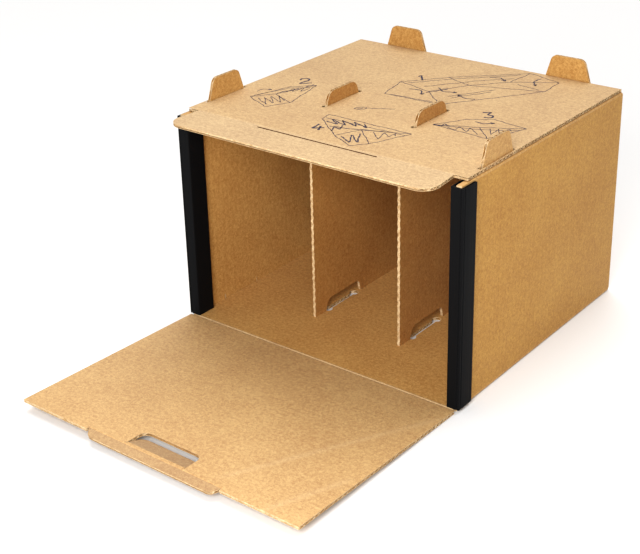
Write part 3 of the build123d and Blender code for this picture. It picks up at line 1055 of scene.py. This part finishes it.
# door, tongue and hand hole flap
door = {
    "reach": 0.287,
    "tongueRootHalf": 0.099,
    "tonguePlay": 0.0005,
    "edgeDepth": 0.0014,
    "edgeFilled": 0.55,
    "holeHalf": 0.0435,
    "holeDepth": 0.0285,
    "holeCorner": 0.010,
    "creaseMarks": ((0.0007, 0.0005, 0.00035), (-0.0006, 0.0007, -0.0004)),
    "shortMarks": ((0.0003, 0.0004, 0.0002), (-0.0004, 0.0004, -0.0003)),
    "bends": (((0.1446, -0.337, 0.0), (0.437, 0.899, 0.0), 0.150, 0.5),
              ((0.177, -0.4295, 0.0), (0.351, 0.936, 0.0), 0.058, 0.4)),
}
tongue = {"droop": 16.0, "length": 0.0125, "taper": 0.008, "corner": 0.009, "edgeFilled": 0.5}
handFlap = {"droop": 16.5, "length": 0.0256, "half": 0.0427, "corner": 0.0094}
doorHinge, tongueHinge = hinges["door_fold"], hinges["tongue_fold"]
flapHinge = hinges["hole_flap_fold"]
doorOut = (tongueHinge - doorHinge) / np.linalg.norm(tongueHinge - doorHinge)
tongueAt = np.linalg.norm(tongueHinge - doorHinge)
holeAt = np.linalg.norm(flapHinge - doorHinge)


def turnedDown(direction, degrees):
    # turns (y, z) about the X axis; a positive angle lowers a direction that points to the front
    angle = math.radians(degrees)
    y, z = direction[1:]
    return np.array((0.0, y * math.cos(angle) - z * math.sin(angle),
                     y * math.sin(angle) + z * math.cos(angle)))


def doorShape():
    # rectangle with a notch where the tongue's crease runs, and a hole rounded on its far side
    half, root, reach = panelHigh[0], door["tongueRootHalf"], door["reach"]
    notch = root + door["tonguePlay"]
    outline = mirrored([(half, -creaseReach), (half, -reach), (notch, -reach), (notch, -tongueAt),
                        (root, -tongueAt), (root, shortReach - tongueAt)])
    return outline, [flapOutlineOf(door["holeHalf"], -holeAt - shortReach,
                                   door["holeDepth"] - holeAt, door["holeCorner"])]


def straightEdge(start, end, v, depth, filled, steps=40):
    # a crushed edge along u at one v
    path = np.stack((np.linspace(start, end, steps), np.full(steps, v)), 1)
    return crushedEdge(path, depth, filled)


# the door: paler and greyer than plain board, a painted sheen, with its bends' painted highlight and
# shade
kraftDoorSheen = kraftPaper("kraftBoardDoor", kraft, 0.98, 0.89, 0.503, door["bends"])
doorPlane = boardPlane(doorHinge, axisX, -doorOut, np.cross(axisX, -doorOut))
doorFronts = [straightEdge(side * (door["tongueRootHalf"] + door["tonguePlay"]), side * panelHigh[0],
                           -door["reach"], door["edgeDepth"], door["edgeFilled"]) for side in (-1, 1)]
makePiece("doorBoard", corrugatedParts(*doorShape()) + doorFronts, doorPlane, [kraftDoorSheen, cutEdge],
          ["front_door"], "door")

tongueOut = turnedDown(doorOut, tongue["droop"])
tongueHalf, tongueEnd = door["tongueRootHalf"], -tongue["length"]
tongueShape = flapOutlineOf(tongueHalf, -shortReach, tongueEnd, tongue["corner"], tongue["taper"])
tonguePlane = boardPlane(tongueHinge, axisX, -tongueOut, np.cross(axisX, -tongueOut))
tongueFrontHalf = tongueHalf - tongue["taper"] - tongue["corner"]
tongueFront = straightEdge(-tongueFrontHalf, tongueFrontHalf, tongueEnd, door["edgeDepth"],
                           tongue["edgeFilled"])
makePiece("tongueBoard", corrugatedParts(tongueShape) + [tongueFront],
          tonguePlane, [kraftDroopShaded, cutEdge], ["door_tongue"], "tongue")

flapIn = turnedDown(-doorOut, -handFlap["droop"])
flapShape = flapOutlineOf(handFlap["half"], shortReach, handFlap["length"], handFlap["corner"])
flapPlane = boardPlane(flapHinge, axisX, flapIn, np.cross(axisX, flapIn))
makePiece("handHoleFlap", corrugatedParts(flapShape), flapPlane, [kraftDroopShaded, cutEdge],
          ["hand_hole_flap"], "hole_flap")

# the door's crease takes the lip's sheen paper, a painted highlight along the hinge
for name, hinge, sideA, sideB, reach, halfLength, bodies, marks, paper in (
        ("doorCrease", doorHinge, axisY, doorOut, creaseReach, sideJoint, ("carcass", "door"),
         door["creaseMarks"], kraftLipSheen),
        ("tongueCrease", tongueHinge, -doorOut, tongueOut, shortReach, tongueHalf, ("door", "tongue"),
         door["shortMarks"], kraftDoorSheen),
        ("handHoleCrease", flapHinge, flapIn, doorOut, shortReach, handFlap["half"],
         ("hole_flap", "door"), door["shortMarks"], kraftDoorSheen)):
    makeCrease(name, creaseSection(hinge[1:], sideA[1:], sideB[1:], reach, -board, 0.0, marks),
               halfLength, paper)
print("door, tongue and hand hole flap made")


# room
room = {"floor": "#EAE9E8", "floorHalf": 6.0, "floorDrop": 0.0004, "roughness": 0.9, "world": 0.42,
        "look": "Medium High Contrast"}


def makeRoom(settings):
    # a flat floor just under the box, and even light from all sides
    half, level = settings["floorHalf"], -settings["floorDrop"]
    mesh = bpy.data.meshes.new("studioFloor")
    mesh.from_pydata([(-half, -half, level), (half, -half, level), (half, half, level),
                      (-half, half, level)], [], [(0, 1, 2, 3)])
    nodes = Nodes("studioFloor")
    nodes.fix(Base_Color=srgb(settings["floor"]), Roughness=settings["roughness"])
    mesh.materials.append(nodes.material)
    floor = bpy.data.objects.new("studioFloor", mesh)
    bpy.context.scene.collection.objects.link(floor)
    world = bpy.data.worlds.new("studio")
    world.use_nodes = True
    world.node_tree.nodes["Background"].inputs["Color"].default_value = (1, 1, 1, 1)
    world.node_tree.nodes["Background"].inputs["Strength"].default_value = settings["world"]
    bpy.context.scene.world = world
    bpy.context.scene.view_settings.view_transform = "Standard"
    bpy.context.scene.view_settings.look = settings["look"]


overhead = {"from": (-0.2, 0.42, 1.0), "spread": 50, "strength": 1.9}
softbox = {"place": (0.56, -1.36, 0.78), "aim": (0.0, -0.1, 0.12), "size": 0.8, "power": 20}


def makeLight(name, kind, back, place=(0.0, 0.0, 0.0)):
    # back points from the lit things to the lamp
    light = bpy.data.lights.new(name, kind)
    lamp = bpy.data.objects.new(name, light)
    back = np.array(back) / np.linalg.norm(back)
    right = np.cross(axisY, back)
    right /= np.linalg.norm(right)
    turned = Matrix(np.array((right, np.cross(back, right), back)).T.tolist()).to_4x4()
    turned.translation = place
    lamp.matrix_world = turned
    bpy.context.scene.collection.objects.link(lamp)
    return light


def makeLights(fromAbove, box):
    # a wide light from above, and a soft box in front that reaches into the carton
    light = makeLight("overheadLight", "SUN", fromAbove["from"])
    light.angle = math.radians(fromAbove["spread"])
    light.energy = fromAbove["strength"]
    light = makeLight("softboxLight", "AREA", np.array(box["place"]) - box["aim"], box["place"])
    light.shape = "DISK"
    light.size = box["size"]
    light.energy = box["power"]


makeRoom(room)
makeLights(overhead, softbox)
print("room lit")
